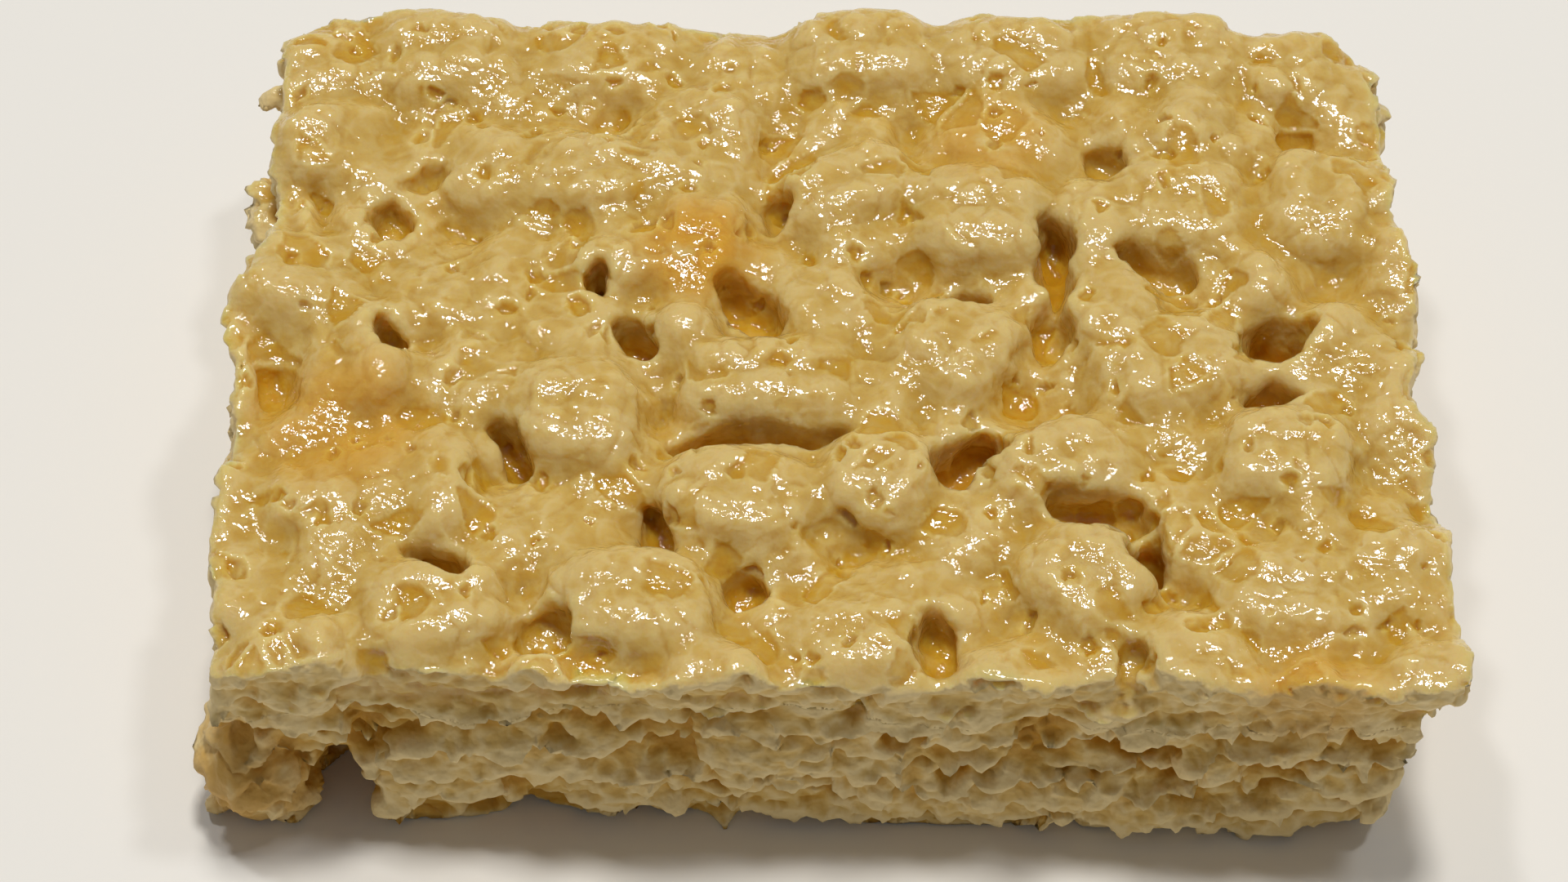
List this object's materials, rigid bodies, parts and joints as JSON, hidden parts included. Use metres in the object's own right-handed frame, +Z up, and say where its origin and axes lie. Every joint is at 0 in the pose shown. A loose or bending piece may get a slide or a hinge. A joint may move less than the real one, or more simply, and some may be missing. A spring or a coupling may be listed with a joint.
{
  "type": "puffed rice marshmallow bar",
  "caption": "Small rectangular snack bar of puffed rice grains fused by melted marshmallow, with a lumpy glossy top full of open gaps and rough cut sides.",
  "frame": {"origin": "middle of the flat underside", "axes": "+X along the length, +Y to the back long side, so the front long cut face looks to -Y, +Z up"},
  "size_m": [0.0544, 0.0372, 0.0141],
  "materials": {
    "rice_bar": "pale golden puffed rice in a thin glossy coat of melted marshmallow, with small bubbles, toasted orange spots and a duller crumbly look where it was cut"
  },
  "bodies": {
    "root": {"rice_bar": "rice_bar"}
  },
  "joints": []
}
